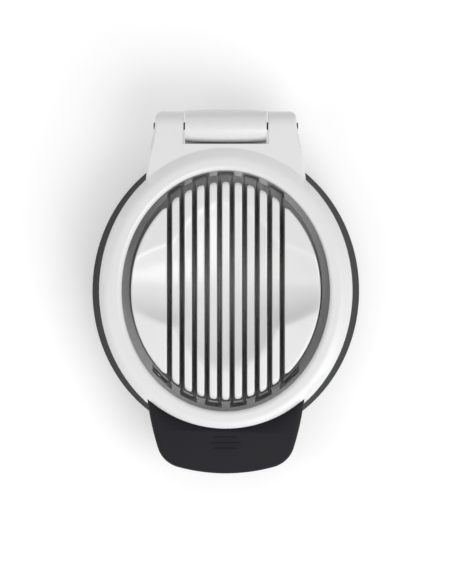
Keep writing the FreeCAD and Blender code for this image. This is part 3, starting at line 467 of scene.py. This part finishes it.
def quarter(distance, radius):
    """How far a rounded rim has dropped at a distance in from the edge."""
    inside = max(radius - distance, 0)
    return radius - math.sqrt(max(radius ** 2 - inside ** 2, 0))


def stations(low, high, rim, steps):
    """Places from low to high: crowded over the rim at both ends, even between."""
    rims = [rim * (1 - math.cos(math.pi / 2 * step / RIM_STEPS)) for step in range(RIM_STEPS + 1)]
    span = high - low - 2 * rim
    middle = [low + rim + span * step / steps for step in range(1, steps)]
    return [low + at for at in rims] + middle + [high - at for at in reversed(rims)]


def oval_reach(across, half_across, half_along):
    """How far along an oval reaches at a place across."""
    return half_along * math.sqrt(max(1 - (across / half_across) ** 2, 0))


def lift_rib(rib, place, columns, rows):
    """Turn a flat grid of columns and rows into one rib, by a function that places its points."""
    grid = bmesh.ops.create_grid(rib, x_segments=len(columns) - 1, y_segments=len(rows) - 1, size=1)
    for vert in grid["verts"]:
        column = round((vert.co.x + 1) / 2 * (len(columns) - 1))
        row = round((vert.co.y + 1) / 2 * (len(rows) - 1))
        vert.co = place(columns[column], rows[row])
    rim = [edge for edge in rib.edges if edge.is_boundary]
    skirt = bmesh.ops.extrude_edge_only(rib, edges=rim)
    foot = [item for item in skirt["geom"] if isinstance(item, bmesh.types.BMVert)]
    for vert in foot:
        vert.co.z = DECK - RIB_ROOT
    floor_edges = [item for item in skirt["geom"] if isinstance(item, bmesh.types.BMEdge)
                   and all(vert in set(foot) for vert in item.verts)]
    bmesh.ops.edgeloop_fill(rib, edges=floor_edges)
    bmesh.ops.recalc_face_normals(rib, faces=rib.faces)


def make_inner_rib(rib, low, high):
    """A rib between two slots: its ends follow the tray's oval."""
    columns = stations(low, high, SIDE_ROUND, RIB_STEPS)
    rows = stations(-1.0, 1.0, RIM_SHARE, LENGTH_STEPS)

    def place(x, share):
        side = min(x - low, high - x)
        reach = oval_reach(x, TRAY_HALF_WIDTH, TRAY_HALF_LENGTH) - quarter(side, PLAN_CORNER)
        y = share * reach
        drop = quarter(side, SIDE_ROUND) + quarter(reach - abs(y), END_ROUND)
        return Vector((x, y, tray_height(x, y) - drop))

    lift_rib(rib, place, columns, rows)


def make_side_lobe(lobe, side, start):
    """The broad outer rib: from the last slot to the tray's side, on the left or the right."""
    tip = TRAY_HALF_LENGTH * math.sqrt(1 - ((start + PLAN_CORNER) / TRAY_HALF_WIDTH) ** 2)
    columns = stations(0.0, 1.0, RIM_SHARE, LOBE_STEPS)
    rows = stations(-tip, tip, LOBE_RIM, LENGTH_STEPS)

    def place(share, y):
        outer = oval_reach(y, TRAY_HALF_LENGTH, TRAY_HALF_WIDTH) - quarter(tip - abs(y), PLAN_CORNER)
        x = start + share * (outer - start)
        drop = (quarter(x - start, SIDE_ROUND) + quarter(outer - x, LOBE_ROUND)
                + quarter(tip - abs(y), LOBE_ROUND))
        return Vector((side * x, y, tray_height(x, y) - drop))

    lift_rib(lobe, place, columns, rows)

# %% Make the ribs
def make_ribs():
    """The inner ribs and the two side lobes, in one piece that moves with the base."""
    ribs = bmesh.new()
    edge = SLOT_PITCH * (SLOT_COUNT - 1) / 2
    for number in range(SLOT_COUNT - 1):
        left = number * SLOT_PITCH - edge + SLOT_WIDTH / 2
        part = bmesh.new()
        make_inner_rib(part, left, left + SLOT_PITCH - SLOT_WIDTH)
        add_part(ribs, part)
    for side in (-1, 1):
        part = bmesh.new()
        make_side_lobe(part, side, edge + SLOT_WIDTH / 2)
        add_part(ribs, part)
    return make_piece(ribs, "tray_ribs", "base", WHITE)


def add_part(whole, part):
    """Add a finished part to a mesh that holds several."""
    data = bpy.data.meshes.new("part")
    part.to_mesh(data)
    part.free()
    whole.from_mesh(data)
    bpy.data.meshes.remove(data)


make_ribs()

# %% [markdown]
# ## The tray's deck and knuckle
#
# The rest of the tray keeps its designed shape.  The block is cut off the copy just above the
# deck, and the cuts are closed, so that the new ribs stand on a plain deck.

# %% Make the deck
CUT_ABOVE_DECK = 0.01 * MM
BEHIND_BLOCK = 3 * MM
KNUCKLE_REACH = 8 * MM
KNUCKLE_FLOOR = 5 * MM
KNUCKLE_ROUND = 0.6 * MM


def is_knuckle_end(edge, middle):
    """Whether an edge goes round an end of the knuckle."""
    near = middle.y > PIN_AXIS.y - KNUCKLE_REACH and middle.z > DECK + KNUCKLE_FLOOR
    return near and abs(edge.verts[0].co.x - edge.verts[1].co.x) < JOIN


def make_deck():
    """The tray without its block of ribs: deck, arm and knuckle."""
    deck = copy_of("egg_tray")
    cut_height = DECK + CUT_ABOVE_DECK
    block_end = TRAY_HALF_LENGTH + BEHIND_BLOCK
    faces = [face for face in deck.faces if face.calc_center_median().y < block_end]
    parts = list({item for face in faces for item in (face, *face.edges, *face.verts)})
    bmesh.ops.bisect_plane(deck, geom=parts, dist=JOIN, plane_co=(0, 0, cut_height),
                           plane_no=(0, 0, 1))
    above = [vert for vert in deck.verts if vert.co.z > cut_height + JOIN and vert.co.y < block_end]
    bmesh.ops.delete(deck, geom=above, context="VERTS")
    bmesh.ops.holes_fill(deck, edges=[edge for edge in deck.edges if edge.is_boundary], sides=0)
    ends = sharp_edges(deck, is_knuckle_end)
    print("edges at the knuckle's ends:", len(ends))
    round_over(deck, ends, KNUCKLE_ROUND)
    return make_piece(deck, "tray_deck", "base", WHITE, ["egg_tray"])


make_deck()

# %% [markdown]
# ## The bars on the grip
#
# Three short raised bars mark where the thumb goes.  Each starts as a cylinder's outline that
# is stretched into a rounded bar, extruded a little and softened.

# %% Make the bars
BAR_LENGTH = 12 * MM
BAR_WIDTH = 1.1 * MM
BAR_PITCH = 2.2 * MM
BAR_COUNT = 3
BAR_SHORTER = 2.4 * MM
BAR_HEIGHT = 0.9 * MM
BAR_SUNK = 0.5 * MM
BAR_ROUND = 0.3 * MM
BARS_Y = -61 * MM


def grip_height(x, y):
    """The height of the grip's top at a place, found by looking down on it."""
    found, point, normal, face = nodes["handle_grip"].ray_cast(Vector((x, y, 1)), Vector((0, 0, -1)))
    return point.z


def make_bar(mesh, y, length):
    """One raised bar across the grip."""
    start = bmesh.ops.create_circle(mesh, cap_ends=True, segments=24, radius=BAR_WIDTH / 2)
    verts = start["verts"]
    for vert in verts:
        vert.co.x += math.copysign((length - BAR_WIDTH) / 2, vert.co.x)
    faces = list({face for vert in verts for face in vert.link_faces})
    raised = bmesh.ops.extrude_face_region(mesh, geom=faces)
    top = [item for item in raised["geom"] if isinstance(item, bmesh.types.BMVert)]
    bmesh.ops.translate(mesh, verts=top, vec=(0, 0, BAR_HEIGHT))
    bar = verts + top
    top_edges = [edge for edge in mesh.edges if all(vert in set(top) for vert in edge.verts)]
    bmesh.ops.translate(mesh, verts=bar, vec=(0, y, grip_height(0, y) - BAR_SUNK))
    round_over(mesh, top_edges, BAR_ROUND)


def make_bars():
    """The raised bars, the middle one longest, in one piece that moves with the frame."""
    bars = bmesh.new()
    for number in range(BAR_COUNT):
        offset = number - (BAR_COUNT - 1) / 2
        make_bar(bars, BARS_Y - offset * BAR_PITCH, BAR_LENGTH - abs(offset) * BAR_SHORTER)
    bmesh.ops.recalc_face_normals(bars, faces=bars.faces)
    return make_piece(bars, "grip_bars", "frame", GRIP)


make_bars()

# %% [markdown]
# ## Floor, light and camera
#
# The slicer lies on a pale table under large soft lights, seen from straight above through a
# very long lens.  An orthographic camera would look the same from above, but its lowest rays
# would start under the table when it is swung down to a low view.

# %% Floor
def make_floor():
    """The pale table, which is not part of the object."""
    floor = bmesh.new()
    bmesh.ops.create_grid(floor, x_segments=1, y_segments=1, size=3.0)
    data = bpy.data.meshes.new("floor")
    floor.to_mesh(data)
    floor.free()
    finish = Finish("floor_paper")
    data.materials.append(finish.set(Base_Color=(0.78, 0.78, 0.78, 1), Roughness=0.9,
                                     Emission_Color=(1, 1, 1, 1), Emission_Strength=0.30))
    piece = bpy.data.objects.new("floor", data)
    bpy.context.scene.collection.objects.link(piece)


make_floor()

# %% Lights
LIT_PLACE = (0, 0, 0.02)


def soft_light(name, place, size, power):
    """A rectangular area light turned to the middle of the object."""
    data = bpy.data.lights.new(name, "AREA")
    data.shape = "RECTANGLE"
    data.size, data.size_y = size
    data.energy = power
    lamp = bpy.data.objects.new(name, data)
    bpy.context.scene.collection.objects.link(lamp)
    lamp.location = place
    lamp.visible_camera = False
    lamp.rotation_euler = (Vector(place) - Vector(LIT_PLACE)).to_track_quat("Z", "Y").to_euler()
    return lamp


soft_light("key", (0.46, -0.50, 0.74), (0.8, 0.8), 6.2)
soft_light("fill_left", (-0.75, -0.20, 0.62), (0.5, 0.9), 1.7)
soft_light("rear", (0.10, 0.80, 0.60), (0.8, 0.4), 0.4)

world = bpy.data.worlds.new("room")
world.use_nodes = True
world.node_tree.nodes["Background"].inputs["Color"].default_value = (1, 1, 1, 1)
world.node_tree.nodes["Background"].inputs["Strength"].default_value = 0.50
bpy.context.scene.world = world
bpy.context.scene.view_settings.view_transform = "Standard"

# %% Camera
VIEW_HEIGHT = 233.6 * MM
CENTRE_X = 0.08 * MM
CENTRE_Y = -0.48 * MM
LENS = 1000.0
SHARP_LEVEL = 20 * MM


def make_camera():
    """A very long lens straight above, whose frame is VIEW_HEIGHT high at the sharp level."""
    data = bpy.data.cameras.new("camera")
    data.lens = LENS
    data.clip_end = 100
    camera = bpy.data.objects.new("camera", data)
    bpy.context.scene.collection.objects.link(camera)
    camera.location = (CENTRE_X, CENTRE_Y, SHARP_LEVEL + VIEW_HEIGHT * LENS / data.sensor_width)
    bpy.context.scene.camera = camera
    print(f"the camera stands {camera.location.z:.2f} m above the table")


make_camera()
